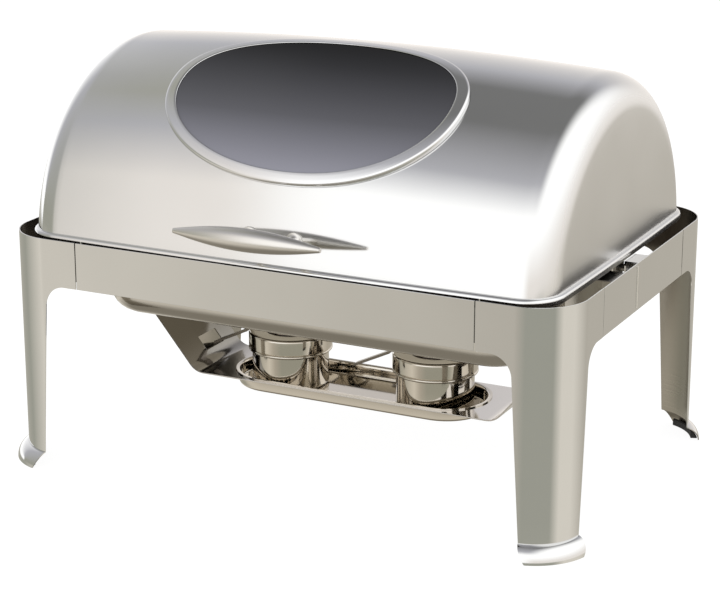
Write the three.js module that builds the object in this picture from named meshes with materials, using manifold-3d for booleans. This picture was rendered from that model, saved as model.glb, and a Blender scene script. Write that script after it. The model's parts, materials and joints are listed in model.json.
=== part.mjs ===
// Roll-top chafing dish: a stainless-steel food warmer with a rolling lid, an oval lid window,
// a water pan with a food pan in it, and two covered fuel cups on a hanging shelf.
// Units are millimetres, +Z is up, the front is at -Y.
// Sizes below count from the point on the floor under the frame's centre. The finished group is moved back
// by FRAME_BACK, so that its origin is on the floor under the middle of the whole outline, handle included.
import * as THREE from 'three';
import { mergeVertices } from 'three/addons/utils/BufferGeometryUtils.js';
import Module from 'manifold-3d';

const wasm = await Module();
wasm.setup();

// ---------------------------------------------------------------- driving dimensions

const SHEET = 1.2;            // thickness of the formed sheet metal
const FIT = 0.4;              // gap between pieces that rest on or against each other

const FRAME_LENGTH = 660;     // along X, outside the bands
const FRAME_DEPTH = 440;      // along Y, outside the bands
const FRAME_CORNER = 55;      // plan radius of the corners
const BAND_TOP = 264;
const BAND_BOTTOM = 212.5;
const SEAM_INSET = 98;        // from the frame's square corner to each leg's seam

const LEG_FILLET = 24;        // concave radius between the band and the leg
const LEG_TOP_HALF = 46;      // half the leg's width round the corner, under the fillet
const LEG_FOOT_HALF = 35.5;   // and at the crease over the foot
const TOE_HALF = 27;          // and at the floor
const FOOT_HEIGHT = 18;
const FOOT_FLARE = 12.8;      // how far the foot curls outside the band
const PAD_HEIGHT = 8;
const PAD_DEPTH = 8;
const PAD_HALF = 22;

const PIVOT_Z = 250;          // the lid rolls about the line y = 0, z = PIVOT_Z
const LID_LENGTH = 607;
const LID_RADIUS = 211.8;
const LID_FILLET = 37;        // between the vault and the end panels
const LID_DOME = 9;           // how much lower the crest is at its ends than at its middle
const LID_EDGE = 268.4;       // where the vault turns out into the rim
const RIM_BOTTOM = 260;
const RIM_OUT = 4.8;          // how far the rim stands outside the vault

const WINDOW_X = 2;           // the window sits this far right of the lid's middle
const WINDOW_ANGLE = 56.6;    // degrees up the vault from the front
const WINDOW_HALF_LENGTH = 157;
const WINDOW_HALF_ARC = 95;
const WINDOW_POWER = 2.13;    // exponent of the superellipse
const BEZEL_WIDTH = 14;
const BEZEL_RISE = 6.2;       // how far its inner edge stands off the vault
const HOLE_SPREAD = 8;        // how much wider the hole in the vault is than the window
const PANE_SPREAD = 3.6;      // and how much wider the glass is
const PANE_LIFT = 4.8;        // the glass's outer face over the vault

const HANDLE_ANGLE = 12.2;
const HANDLE_RADIUS = 266;    // from the pivot line to the grip's centre line
const HANDLE_HALF = 84;
const GRIP_RADIUS = 12;
const GRIP_TIP = 2.6;         // its radius at the blunt tips
const POST_SPACING = 52;

const PAN_SEAT = 254;         // top of the ledge that carries the water pan
const WATER_HALF = [257, 155];
const WATER_BOTTOM = 165.5;
const WATER_FILLET = 25;
const FOOD_FLANGE = [265, 162.5];   // half of 530 x 325, the full-size gastronorm pan
const FOOD_HALF = [252, 149.5];
const FOOD_DEPTH = 65;
const FOOD_FILLET = 16;
const CARRIER_HALF = [290, 190];
const CARRIER_SHEET = 1.5;

const SHELF_Z = 75.5;         // top of the burner shelf
const SHELF_SHEET = 1.5;
const SHELF_WIDTH = 110;
const SHELF_HALF = 186;       // half the length of its level part
const SHELF_SLOPE = 50.3;     // degrees, of its arms
const SHELF_BEND = 22;        // inner radius between the level part and the arms
const ARM_X = 263;            // where its arms turn upright
const TRAY_HALF = [156, 52];
const TRAY_DEPTH = 13.5;

const CUP_X = 91;
const CUP_RADIUS = 43.8;
const COVER_RADIUS = 46.5;
const COVER_TOP = 126;
const BEAD_Z = 105.5;         // the rolled edge under the cover
const LEVER_REACH = 99;       // from the cup's centre to the end of the damper's lever
const LEVER_DROP = 32;        // how far below the damper its end hangs
const LEVER_HALF = 5;         // half the lever's width
const LEVER_THICK = 3.4;

const HINGE_HALF = 16;        // half the width of the hinge bracket
const PIN_RADIUS = 4;

const FRAME_BACK = 20;        // the frame's centre is this far behind the origin

// ---------------------------------------------------------------- finishes

const finish = (color, roughness, metalness = 1) =>
  new THREE.MeshStandardMaterial({ color, roughness, metalness });

const polished = () => finish(0xcfcac2, 0.12);
const brushed = () => finish(0xb6b3ad, 0.32);
const tintedGlass = () => finish(0x3a3a42, 0.05, 0);
const rubber = () => finish(0x1c1c1c, 0.85, 0);

// ---------------------------------------------------------------- geometry helpers

const radians = THREE.MathUtils.degToRad;
const lerp = THREE.MathUtils.lerp;
const vec = (x, y, z) => new THREE.Vector3(x, y, z);

// One closed body from points and triangles, turned so that its faces point out.
function closedBody(points, faces) {
  let volume = 0;
  for (const [a, b, c] of faces) {
    volume += points[a].dot(points[b].clone().cross(points[c]));
  }
  const outward = volume >= 0 ? faces : faces.map(([a, b, c]) => [a, c, b]);
  const geometry = new THREE.BufferGeometry();
  geometry.setAttribute('position', new THREE.Float32BufferAttribute(points.flatMap(p => p.toArray()), 3));
  geometry.setIndex(outward.flat());
  return geometry;
}

// Fans for a convex ring, as triangles of places in the ring.
function fanCap(count) {
  const cap = [];
  for (let j = 1; j < count - 1; j++) cap.push([0, j, j + 1]);
  return cap;
}

// Strips between the two long sides of a thin ring, so that the cap stays inside a bent sheet.
function stripCap(count) {
  const cap = [];
  for (let j = 0; j < count / 2 - 1; j++) {
    cap.push([j, j + 1, count - 2 - j], [j, count - 2 - j, count - 1 - j]);
  }
  return cap;
}

// Joins a row of rings with the same number of points.
// An open row gets an end cap on each end; a cyclic row closes on itself.
function loft(rings, { cyclic = false, cap = fanCap } = {}) {
  const count = rings[0].length;
  const faces = [];
  const rows = cyclic ? rings.length : rings.length - 1;
  for (let i = 0; i < rows; i++) {
    const near = i * count;
    const far = ((i + 1) % rings.length) * count;
    for (let j = 0; j < count; j++) {
      const k = (j + 1) % count;
      faces.push([near + j, near + k, far + k], [near + j, far + k, far + j]);
    }
  }
  if (!cyclic) {
    const last = (rings.length - 1) * count;
    for (const [a, b, c] of cap(count)) {
      faces.push([a, c, b], [last + a, last + b, last + c]);
    }
  }
  return closedBody(rings.flat(), faces);
}

// A curved sheet: face(i, j) and back(i, j) are its two sides on the same grid.
function sheetBody(rows, columns, face, back) {
  const rings = [];
  for (let i = 0; i <= rows; i++) {
    const ring = [];
    for (let j = 0; j <= columns; j++) ring.push(face(i, j));
    for (let j = columns; j >= 0; j--) ring.push(back(i, j));
    rings.push(ring);
  }
  return loft(rings, { cap: stripCap });
}

// A rounded rectangle with half sizes halfX and halfY, at height z.
function roundedRing(halfX, halfY, radius, z, steps = 4) {
  const ring = [];
  const corners = [[1, 1, 0], [-1, 1, 90], [-1, -1, 180], [1, -1, 270]];
  for (const [signX, signY, start] of corners) {
    for (let i = 0; i <= steps; i++) {
      const angle = radians(start + 90 * i / steps);
      const x = signX * (halfX - radius) + radius * Math.cos(angle);
      const y = signY * (halfY - radius) + radius * Math.sin(angle);
      ring.push(vec(x, y, z));
    }
  }
  return ring;
}

// Sweeps a section of [out, z] points round a closed plan outline.
function sweepOutline(outline, section) {
  const rings = outline.map((point, i) => {
    const before = outline[(i + outline.length - 1) % outline.length];
    const after = outline[(i + 1) % outline.length];
    const along = after.clone().sub(before).normalize();
    const out = vec(along.y, -along.x, 0);
    return section.map(([offset, z]) => vec(point.x + out.x * offset, point.y + out.y * offset, z));
  });
  return loft(rings, { cyclic: true });
}

// A box between two corners; each pair of limits may come in either order.
function box([x0, x1], [y0, y1], [z0, z1]) {
  const geometry = new THREE.BoxGeometry(Math.abs(x1 - x0), Math.abs(y1 - y0), Math.abs(z1 - z0));
  geometry.translate((x0 + x1) / 2, (y0 + y1) / 2, (z0 + z1) / 2);
  return geometry;
}

// A solid of revolution about a vertical line, from [radius, z] points.
function turned(profile, x = 0, y = 0, segments = 28) {
  const geometry = new THREE.LatheGeometry(profile.map(([r, z]) => new THREE.Vector2(r, z)), segments);
  geometry.rotateX(Math.PI / 2);
  geometry.translate(x, y, 0);
  return geometry;
}

// A flat plate cut to a shape drawn in the Y-Z plane, from x to x + thickness.
function platePiece(shape, x, thickness) {
  const settings = { depth: thickness, bevelEnabled: false, curveSegments: 16 };
  const geometry = new THREE.ExtrudeGeometry(shape, settings);
  const axes = new THREE.Matrix4().makeBasis(vec(0, 1, 0), vec(0, 0, 1), vec(1, 0, 0));
  geometry.applyMatrix4(axes);
  geometry.translate(x, 0, 0);
  return geometry;
}

// A stepped pin along X: steps are [x, radius] pairs, each holding until the next one.
function pinAlongX(steps, end, y, z, segments = 16) {
  const profile = [];
  steps.forEach(([x, radius], i) => {
    const next = i + 1 < steps.length ? steps[i + 1][0] : end;
    profile.push([radius, x], [radius, next]);
  });
  const geometry = turned([[0, steps[0][0]], ...profile, [0, end]], 0, 0, segments);
  geometry.rotateY(Math.PI / 2);
  geometry.translate(0, y, z);
  return geometry;
}

function toManifold(geometry) {
  const bare = new THREE.BufferGeometry();
  bare.setAttribute('position', geometry.getAttribute('position').clone());
  if (geometry.index) bare.setIndex(geometry.index.clone());
  const merged = mergeVertices(bare, 1e-4);
  const kept = [];
  const index = merged.index.array;
  for (let i = 0; i < index.length; i += 3) {
    const [a, b, c] = [index[i], index[i + 1], index[i + 2]];
    if (a !== b && b !== c && a !== c) kept.push(a, b, c);
  }
  return new wasm.Manifold(new wasm.Mesh({
    numProp: 3,
    vertProperties: new Float32Array(merged.getAttribute('position').array),
    triVerts: new Uint32Array(kept),
  }));
}

function fromManifold(manifold) {
  const mesh = manifold.getMesh();
  const geometry = new THREE.BufferGeometry();
  geometry.setAttribute('position', new THREE.BufferAttribute(new Float32Array(mesh.vertProperties), 3));
  geometry.setIndex(new THREE.BufferAttribute(new Uint32Array(mesh.triVerts), 1));
  return geometry;
}

function cut(geometry, ...tools) {
  return fromManifold(tools.reduce((body, tool) => body.subtract(toManifold(tool)), toManifold(geometry)));
}

function join(geometry, ...others) {
  return fromManifold(others.reduce((body, other) => body.add(toManifold(other)), toManifold(geometry)));
}

const chafer = new THREE.Group();
chafer.position.y = FRAME_BACK;

function place(name, geometry, material) {
  const mesh = new THREE.Mesh(geometry, material);
  mesh.name = name;
  chafer.add(mesh);
  return mesh;
}

const SIDES = [['left', -1], ['right', 1]];
const ENDS = [['front', -1], ['rear', 1]];

// ---------------------------------------------------------------- frame: legs, bands, splices, foot pads

const HALF_ARC = FRAME_CORNER * Math.PI / 4;
const BAND_HALF = HALF_ARC + SEAM_INSET - FRAME_CORNER;

// A point on the frame's outline near one corner: s runs round the corner from its middle.
function cornerPoint(s, offset, z, signX, signY) {
  const centreX = FRAME_LENGTH / 2 - FRAME_CORNER;
  const centreY = FRAME_DEPTH / 2 - FRAME_CORNER;
  let x;
  let y;
  if (s > HALF_ARC) {
    x = centreX - (s - HALF_ARC);
    y = FRAME_DEPTH / 2 + offset;
  } else if (s < -HALF_ARC) {
    x = FRAME_LENGTH / 2 + offset;
    y = centreY - (-s - HALF_ARC);
  } else {
    const angle = Math.PI / 4 + s / FRAME_CORNER;
    x = centreX + (FRAME_CORNER + offset) * Math.cos(angle);
    y = centreY + (FRAME_CORNER + offset) * Math.sin(angle);
  }
  return vec(signX * x, signY * y, z);
}

// Half the leg's width round the corner: full at the band, a concave fillet, a slow taper, a narrower toe.
function legHalfWidth(z) {
  const filletEnd = BAND_BOTTOM - LEG_FILLET;
  if (z >= BAND_BOTTOM) return BAND_HALF;
  if (z > filletEnd) {
    const rise = z - filletEnd;
    return LEG_TOP_HALF + LEG_FILLET - Math.sqrt(LEG_FILLET ** 2 - rise ** 2);
  }
  if (z > FOOT_HEIGHT) {
    return lerp(LEG_FOOT_HALF, LEG_TOP_HALF, (z - FOOT_HEIGHT) / (filletEnd - FOOT_HEIGHT));
  }
  return lerp(TOE_HALF, LEG_FOOT_HALF, (z / FOOT_HEIGHT) ** 0.8);
}

// The foot rolls outward under a crease, and comes down upright at the toe.
function footFlare(z) {
  if (z >= FOOT_HEIGHT) return 0;
  return FOOT_FLARE * (1 - (z / FOOT_HEIGHT) ** 2.2) ** 0.65;
}

function legRows() {
  const rows = [BAND_TOP, BAND_BOTTOM + 0.01, BAND_BOTTOM];
  for (let i = 1; i <= 5; i++) {
    const turn = radians(90 * i / 5);
    rows.push(BAND_BOTTOM - LEG_FILLET * (1 - Math.cos(turn)));
  }
  rows.push(100);
  for (const share of [1, 0.94, 0.84, 0.7, 0.5, 0.3, 0.06]) rows.push(FOOT_HEIGHT * share);
  return rows;
}

const LEG_COLUMNS = 12;
for (const [end, signY] of ENDS) {
  for (const [side, signX] of SIDES) {
    const rows = legRows();
    const at = (i, j, depth) => {
      const z = rows[i];
      const half = i < 2 ? BAND_HALF - FIT / 2 : Math.min(legHalfWidth(z), BAND_HALF - 1);
      const s = lerp(-half, half, j / LEG_COLUMNS);
      return cornerPoint(s, footFlare(z) - depth, z, signX, signY);
    };
    const sheet = sheetBody(rows.length - 1, LEG_COLUMNS, (i, j) => at(i, j, 0), (i, j) => at(i, j, SHEET));
    place(`leg_${end}_${side}`, sheet, polished());

    const padOut = FOOT_FLARE - SHEET - FIT;
    const padPoint = (i, j, offset) => {
      const s = lerp(-PAD_HALF, PAD_HALF, j / 8);
      return cornerPoint(s, offset, i * PAD_HEIGHT, signX, signY);
    };
    const padFace = (i, j) => padPoint(i, j, padOut - 4 * i);
    const padBack = (i, j) => padPoint(i, j, padOut - PAD_DEPTH);
    place(`foot_pad_${end}_${side}`, sheetBody(1, 8, padFace, padBack), rubber());
  }
}

const SEAM_X = FRAME_LENGTH / 2 - SEAM_INSET;
const SEAM_Y = FRAME_DEPTH / 2 - SEAM_INSET;
const BAND_X = SEAM_X - FIT / 2 - 0.1;
const BAND_Y = SEAM_Y - FIT / 2 - 0.1;
const BAND_HEIGHT = [BAND_BOTTOM, BAND_TOP];

for (const [end, sign] of ENDS) {
  const face = sign * FRAME_DEPTH / 2;
  place(`${end}_band`, box([-BAND_X, BAND_X], [face, face - sign * SHEET], BAND_HEIGHT), polished());
}
for (const [side, sign] of SIDES) {
  const face = sign * FRAME_LENGTH / 2;
  place(`${side}_band`, box([face, face - sign * SHEET], [-BAND_Y, BAND_Y], BAND_HEIGHT), polished());
}

// Splice plates behind the seams tie each leg to its two bands.
const SPLICE_HALF = 17;
const SPLICE_THICK = 0.8;
const SPLICE_GAP = 0.3;
const SPLICE_HEIGHT = [BAND_BOTTOM + 8, BAND_TOP - 8];
for (const [end, signY] of ENDS) {
  for (const [side, signX] of SIDES) {
    const outerX = FRAME_LENGTH / 2 - SHEET - SPLICE_GAP;
    const outerY = FRAME_DEPTH / 2 - SHEET - SPLICE_GAP;
    const columns = [signX * SEAM_X - SPLICE_HALF, signX * SEAM_X + SPLICE_HALF];
    const rows = [signY * SEAM_Y - SPLICE_HALF, signY * SEAM_Y + SPLICE_HALF];
    const thickX = [signX * outerX, signX * (outerX - SPLICE_THICK)];
    const thickY = [signY * outerY, signY * (outerY - SPLICE_THICK)];
    place(`splice_${end}_${side}`, box(columns, thickY, SPLICE_HEIGHT), brushed());
    place(`splice_${side}_${end}`, box(thickX, rows, SPLICE_HEIGHT), brushed());
  }
}

// ---------------------------------------------------------------- lid

const LID_STRAIGHT = LID_LENGTH / 2 - LID_FILLET;
const LID_FACETS = 60;

// The vault's radius at x and at an angle round the pivot line: slightly domed, most at the crest.
function vaultRadius(x, angle, inset = 0) {
  const along = Math.min(1, Math.abs(x) / LID_STRAIGHT);
  const droop = LID_DOME * (0.3 + 0.7 * Math.sin(angle) ** 2) * along ** 2;
  return LID_RADIUS - droop - inset;
}

// The lid as a solid turned about the pivot line: flat ends, fillets and the domed vault.
function lidSolid(inset) {
  const stations = [];
  const fillet = LID_FILLET - inset;
  const endX = LID_LENGTH / 2 - inset;
  stations.push([endX, LID_FILLET, 0.01], [endX, LID_FILLET, 0.5]);
  for (let i = 0; i <= 4; i++) {
    const turn = radians(90 - 22.5 * i);
    stations.push([LID_STRAIGHT + fillet * Math.sin(turn), fillet * (1 - Math.cos(turn)), 1]);
  }
  for (const part of [0.66, 0.33]) stations.push([LID_STRAIGHT * part, 0, 1]);
  const mirrored = stations.map(([x, drop, scale]) => [-x, drop, scale]).reverse();
  const rings = [...stations, [0, 0, 1], ...mirrored].map(([x, drop, scale]) => {
    const ring = [];
    for (let j = 0; j < LID_FACETS; j++) {
      const angle = 2 * Math.PI * j / LID_FACETS;
      const radius = (vaultRadius(x, angle, inset) - drop) * scale;
      ring.push(vec(x, -radius * Math.cos(angle), PIVOT_Z + radius * Math.sin(angle)));
    }
    return ring;
  });
  return loft(rings);
}

// The plan outline of the vault at the height where the rim starts.
function lidOutline() {
  const height = LID_EDGE - PIVOT_Z;
  const right = [];
  for (let i = 0; i <= 4; i++) {
    const turn = radians(90 - 22.5 * i);
    const radius = vaultRadius(LID_STRAIGHT, 0) - LID_FILLET * (1 - Math.cos(turn));
    right.push([LID_STRAIGHT + LID_FILLET * Math.sin(turn), Math.sqrt(radius ** 2 - height ** 2)]);
  }
  for (const part of [0.66, 0.33]) {
    const x = LID_STRAIGHT * part;
    right.push([x, Math.sqrt(vaultRadius(x, 0) ** 2 - height ** 2)]);
  }
  const centre = [[0, Math.sqrt(LID_RADIUS ** 2 - height ** 2)]];
  const left = right.map(([x, y]) => [-x, y]).reverse();
  const rear = [...right, ...centre, ...left];
  const front = rear.map(([x, y]) => [-x, -y]);
  return [...rear, ...front].map(([x, y]) => vec(x, y, 0));
}

// A point on the vault near the window: spread widens the oval, lift raises it off the vault,
// and share draws it in towards the window's middle.
function windowPoint(turn, spread, lift, share = 1) {
  const round = value => Math.sign(value) * Math.abs(value) ** (2 / WINDOW_POWER);
  const x = WINDOW_X + (WINDOW_HALF_LENGTH + spread) * share * round(Math.cos(turn));
  const arc = (WINDOW_HALF_ARC + spread) * share * round(Math.sin(turn));
  const angle = radians(WINDOW_ANGLE) + arc / LID_RADIUS;
  const radius = vaultRadius(x, angle) + lift;
  return vec(x, -radius * Math.cos(angle), PIVOT_Z + radius * Math.sin(angle));
}

const WINDOW_STEPS = 44;
const WINDOW_TURNS = Array.from({ length: WINDOW_STEPS }, (_, i) => 2 * Math.PI * (i + 0.5) / WINDOW_STEPS);

// A ring round the window with a section of [spread, lift] points.
function windowRing(section) {
  const rings = WINDOW_TURNS.map(turn => section.map(([spread, lift]) => windowPoint(turn, spread, lift)));
  return loft(rings, { cyclic: true });
}

// A curved pane or plug between two lifts, as rings that shrink to the middle on both faces.
function windowPane(spread, top, bottom) {
  const shares = [0.05, 0.4, 0.75, 1];
  const ringAt = (share, lift) => WINDOW_TURNS.map(turn => windowPoint(turn, spread, lift, share));
  const upper = shares.map(share => ringAt(share, top));
  const lower = shares.map(share => ringAt(share, bottom)).reverse();
  return loft([...upper, ...lower]);
}

// A point at a radius from the pivot line, on the handle's radial line.
const handleTurn = radians(HANDLE_ANGLE);
const handlePoint = (x, radius) =>
  vec(x, -radius * Math.cos(handleTurn), PIVOT_Z + radius * Math.sin(handleTurn));

// Turns a solid of revolution drawn upright so that it stands out of the vault on the handle's radial line.
function onHandleLine(geometry, x) {
  geometry.rotateX(Math.PI / 2 - handleTurn);
  geometry.translate(x, 0, PIVOT_Z);
  return geometry;
}

const SCREW_RADIUS = 3;
const POST_BASE = LID_RADIUS + 0.2;
const POST_TIP = HANDLE_RADIUS - GRIP_RADIUS * 0.55;

const underLid = box([-400, 400], [-400, 400], [-200, LID_EDGE]);
const rimInner = -SHEET - 0.4;
const rimSection = [
  [0.4, LID_EDGE + 1],
  [0.4, LID_EDGE],
  [RIM_OUT - 2, LID_EDGE - 0.4],
  [RIM_OUT - 0.6, LID_EDGE - 1.6],
  [RIM_OUT, LID_EDGE - 3.4],
  [RIM_OUT, RIM_BOTTOM],
  [RIM_OUT - SHEET, RIM_BOTTOM],
  [RIM_OUT - SHEET, LID_EDGE - 3.2],
  [RIM_OUT - 2.4, LID_EDGE - 1.8],
  [rimInner, LID_EDGE - 1.6],
  [rimInner, LID_EDGE + 1],
];
const boreRadius = SCREW_RADIUS + 0.4;
const screwBore = [[0, 190], [boreRadius, 190], [boreRadius, 230], [0, 230]];
const screwHoles = [-1, 1].map(sign => onHandleLine(turned(screwBore, 0, 0, 16), sign * POST_SPACING / 2));
const vault = cut(lidSolid(0), lidSolid(SHEET), underLid, windowPane(HOLE_SPREAD, 12, -14), ...screwHoles);
place('lid_shell', join(vault, sweepOutline(lidOutline(), rimSection)), polished());

// The glass stands proud of the vault; the bezel runs level round it and rolls over onto the lid.
const paneEdge = PANE_SPREAD + 0.6;
place('window_bezel', windowRing([
  [0.3, PANE_LIFT + 0.4], [0.3, BEZEL_RISE - 0.5], [1, BEZEL_RISE - 0.1], [BEZEL_WIDTH - 4.4, BEZEL_RISE],
  [BEZEL_WIDTH - 2, BEZEL_RISE - 1.1], [BEZEL_WIDTH - 0.6, 3.2], [BEZEL_WIDTH, FIT],
  [paneEdge, FIT], [paneEdge, PANE_LIFT + 0.4],
]), polished());
place('window_glass', windowPane(PANE_SPREAD, PANE_LIFT, PANE_LIFT - 4), tintedGlass());
place('window_seal', windowRing([
  [0.5, FIT], [PANE_SPREAD + 0.3, FIT], [PANE_SPREAD + 0.3, 0.1], [HOLE_SPREAD - 0.3, 0.1],
  [HOLE_SPREAD - 0.3, -6], [0.5, -6],
]), rubber());
const clampEdge = HOLE_SPREAD + 0.6;
const clampTop = -SHEET - 0.9;
place('window_clamp', windowRing([
  [0.5, -6.3], [clampEdge, -6.3], [clampEdge, clampTop], [BEZEL_WIDTH, clampTop],
  [BEZEL_WIDTH, clampTop - SHEET], [clampEdge + SHEET, clampTop - SHEET],
  [clampEdge + SHEET, -7.5], [0.5, -7.5],
]), brushed());

// The grip is a spindle along X; each post is a turned neck with a foot on the vault.
const postBore = [[0, POST_BASE - 1], [boreRadius, POST_BASE - 1], [boreRadius, 226], [0, 226]];
const socket = [[0, 236], [5.4, 236], [5.4, POST_TIP + FIT], [0, POST_TIP + FIT]];
const gripRings = [];
for (let i = 0; i <= 14; i++) {
  const share = -Math.cos(Math.PI * i / 14);
  const radius = GRIP_TIP + (GRIP_RADIUS - GRIP_TIP) * (1 - share ** 2) ** 1.1;
  const ring = [];
  for (let j = 0; j < 14; j++) {
    const angle = 2 * Math.PI * j / 14;
    const middle = handlePoint(share * HANDLE_HALF, HANDLE_RADIUS);
    ring.push(vec(middle.x, middle.y + radius * Math.cos(angle), middle.z + radius * Math.sin(angle)));
  }
  gripRings.push(ring);
}
const grip = loft(gripRings);
const sockets = [];
for (const [side, sign] of SIDES) {
  const x = sign * POST_SPACING / 2;
  const neck = turned([
    [0, POST_BASE], [9, POST_BASE], [9.5, 214], [7, 218], [5, 226], [4.5, 240], [5, POST_TIP], [0, POST_TIP],
  ], 0, 0, 14);
  const bore = onHandleLine(turned(postBore, 0, 0, 16), x);
  place(`handle_post_${side}`, cut(onHandleLine(neck, x), bore), polished());
  sockets.push(onHandleLine(turned(socket, 0, 0, 14), x));
  const inside = LID_RADIUS - SHEET - 0.4;
  const screw = turned([
    [0, inside - 3], [4, inside - 3], [5.2, inside - 1.8], [5.2, inside], [SCREW_RADIUS, inside],
    [SCREW_RADIUS, 225], [0, 225],
  ], 0, 0, 14);
  place(`handle_screw_${side}`, onHandleLine(screw, x), brushed());
}
place('handle_grip', cut(grip, ...sockets), polished());

// Lugs inside the lid's ends carry the pivot holes.
const LUG_X = LID_LENGTH / 2 - SHEET - FIT;
const LUG_THICK = 2;
const LUG_ROUND = 12;
const LUG_TOP = [17, 44];     // half its width there, and its height over the pivot
for (const [side, sign] of SIDES) {
  const shape = new THREE.Shape();
  shape.moveTo(-LUG_ROUND, 0);
  shape.absarc(0, 0, LUG_ROUND, Math.PI, 2 * Math.PI, false);
  shape.lineTo(LUG_TOP[0], LUG_TOP[1]);
  shape.lineTo(-LUG_TOP[0], LUG_TOP[1]);
  shape.closePath();
  const hole = new THREE.Path();
  hole.absarc(0, 0, PIN_RADIUS + 0.5, 0, 2 * Math.PI, true);
  shape.holes.push(hole);
  const inner = sign > 0 ? LUG_X - LUG_THICK : -LUG_X;
  const lug = platePiece(shape, inner, LUG_THICK);
  lug.translate(0, 0, PIVOT_Z);
  place(`lid_lug_${side}`, lug, brushed());
}

// ---------------------------------------------------------------- hinges

const BRACKET_X = LID_LENGTH / 2 + RIM_OUT + 4;
const BRACKET_OUT = FRAME_LENGTH / 2 - SHEET - FIT;
const BRACKET_THICK = 1.6;
const BRACKET_TOP = BAND_TOP - 2;
const BRACKET_BOTTOM = 234;
for (const [side, sign] of SIDES) {
  const profile = new THREE.Shape();
  profile.moveTo(BRACKET_X, BRACKET_BOTTOM);
  profile.lineTo(BRACKET_X, BRACKET_TOP);
  profile.lineTo(BRACKET_OUT, BRACKET_TOP);
  profile.lineTo(BRACKET_OUT, BRACKET_BOTTOM);
  profile.lineTo(BRACKET_OUT - BRACKET_THICK, BRACKET_BOTTOM);
  profile.lineTo(BRACKET_OUT - BRACKET_THICK, BRACKET_TOP - BRACKET_THICK);
  profile.lineTo(BRACKET_X + BRACKET_THICK, BRACKET_TOP - BRACKET_THICK);
  profile.lineTo(BRACKET_X + BRACKET_THICK, BRACKET_BOTTOM);
  profile.closePath();
  const channel = new THREE.ExtrudeGeometry(profile, { depth: 2 * HINGE_HALF, bevelEnabled: false });
  channel.rotateX(Math.PI / 2);
  channel.translate(0, HINGE_HALF, 0);
  if (sign < 0) channel.rotateZ(Math.PI);
  const reach = sign * BRACKET_X;
  const bore = pinAlongX([[reach - 6, PIN_RADIUS + 0.3]], reach + 6, 0, PIVOT_Z);
  place(`hinge_bracket_${side}`, cut(channel, bore), polished());

  // The pin: a head inside the lug, a shoulder through lug and bracket, a nut outside the bracket.
  const headX = LUG_X - LUG_THICK - 0.6;
  const pin = pinAlongX([
    [headX - 2.4, 7.5], [headX, PIN_RADIUS], [BRACKET_X + BRACKET_THICK + 5.5, PIN_RADIUS - 0.8],
  ], BRACKET_X + BRACKET_THICK + 6.5, 0, PIVOT_Z);
  if (sign < 0) pin.rotateZ(Math.PI);
  place(`pivot_pin_${side}`, pin, brushed());
  const nutX = BRACKET_X + BRACKET_THICK + 0.3;
  const nut = pinAlongX([[nutX, 7]], nutX + 4.4, 0, PIVOT_Z, 6);
  const nutBore = pinAlongX([[nutX - 2, PIN_RADIUS + 0.3]], nutX + 8, 0, PIVOT_Z);
  if (sign < 0) {
    nut.rotateZ(Math.PI);
    nutBore.rotateZ(Math.PI);
  }
  place(`pivot_nut_${side}`, cut(nut, nutBore), brushed());
}

// ---------------------------------------------------------------- pan carrier, water pan, food pan

const LEDGE = 30;
const LEDGE_UNDER = PAN_SEAT - CARRIER_SHEET;
const carrierOutline = roundedRing(...CARRIER_HALF, 50, 0);
const ledge = sweepOutline(carrierOutline, [
  [0, PAN_SEAT], [0, PAN_SEAT - 9], [-CARRIER_SHEET, PAN_SEAT - 9], [-CARRIER_SHEET, LEDGE_UNDER],
  [-LEDGE, LEDGE_UNDER], [-LEDGE, PAN_SEAT],
]);
// Bent tabs reach from the ledge to the bands: two at the front, and one at each end.
const TAB_HALF = 20;
const TAB_X = 150;
const END_TAB_Y = [-66, -30];
const TAB_DROP = 20;
const tabLevel = [LEDGE_UNDER, PAN_SEAT];
const tabUpright = [PAN_SEAT - TAB_DROP, PAN_SEAT];
const bandInY = FRAME_DEPTH / 2 - SHEET - FIT;
const bandInX = FRAME_LENGTH / 2 - SHEET - FIT;
const carrierTabs = [];
for (const sign of [-1, 1]) {
  const columns = [sign * TAB_X - TAB_HALF, sign * TAB_X + TAB_HALF];
  carrierTabs.push(
    box(columns, [-bandInY, -CARRIER_HALF[1] + 6], tabLevel),
    box(columns, [-bandInY, -bandInY + CARRIER_SHEET], tabUpright),
    box([sign * bandInX, sign * (CARRIER_HALF[0] - 6)], END_TAB_Y, tabLevel),
    box([sign * bandInX, sign * (bandInX - CARRIER_SHEET)], END_TAB_Y, tabUpright));
}
place('pan_carrier', join(ledge, ...carrierTabs), brushed());

// A formed pan as rings: up the outside, round the flange, down the inside.
function pan({ flange, flangeCorner, flangeZ, half, corner, draft, bottom, fillet }) {
  const [flangeX, flangeY] = flange;
  const [halfX, halfY] = half;
  const wallRings = (inset, flangeHeight) => {
    const rings = [];
    const floorZ = bottom + inset;
    const round = fillet - inset;
    const lowX = halfX - draft - inset;
    const lowY = halfY - draft - inset;
    for (let i = 0; i <= 4; i++) {
      const turn = radians(90 * i / 4);
      const out = round * (1 - Math.sin(turn));
      const radius = Math.max(4, corner - inset - out * 0.8);
      rings.push(roundedRing(lowX - out, lowY - out, radius, floorZ + round * (1 - Math.cos(turn))));
    }
    rings.push(roundedRing(halfX - inset, halfY - inset, corner - inset, flangeHeight));
    return rings;
  };
  const outside = wallRings(0, flangeZ);
  const inside = wallRings(SHEET, flangeZ + SHEET).reverse();
  const lip = [
    roundedRing(flangeX, flangeY, flangeCorner, flangeZ),
    roundedRing(flangeX, flangeY, flangeCorner, flangeZ + SHEET),
  ];
  return loft([...outside, ...lip, ...inside]);
}

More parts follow.
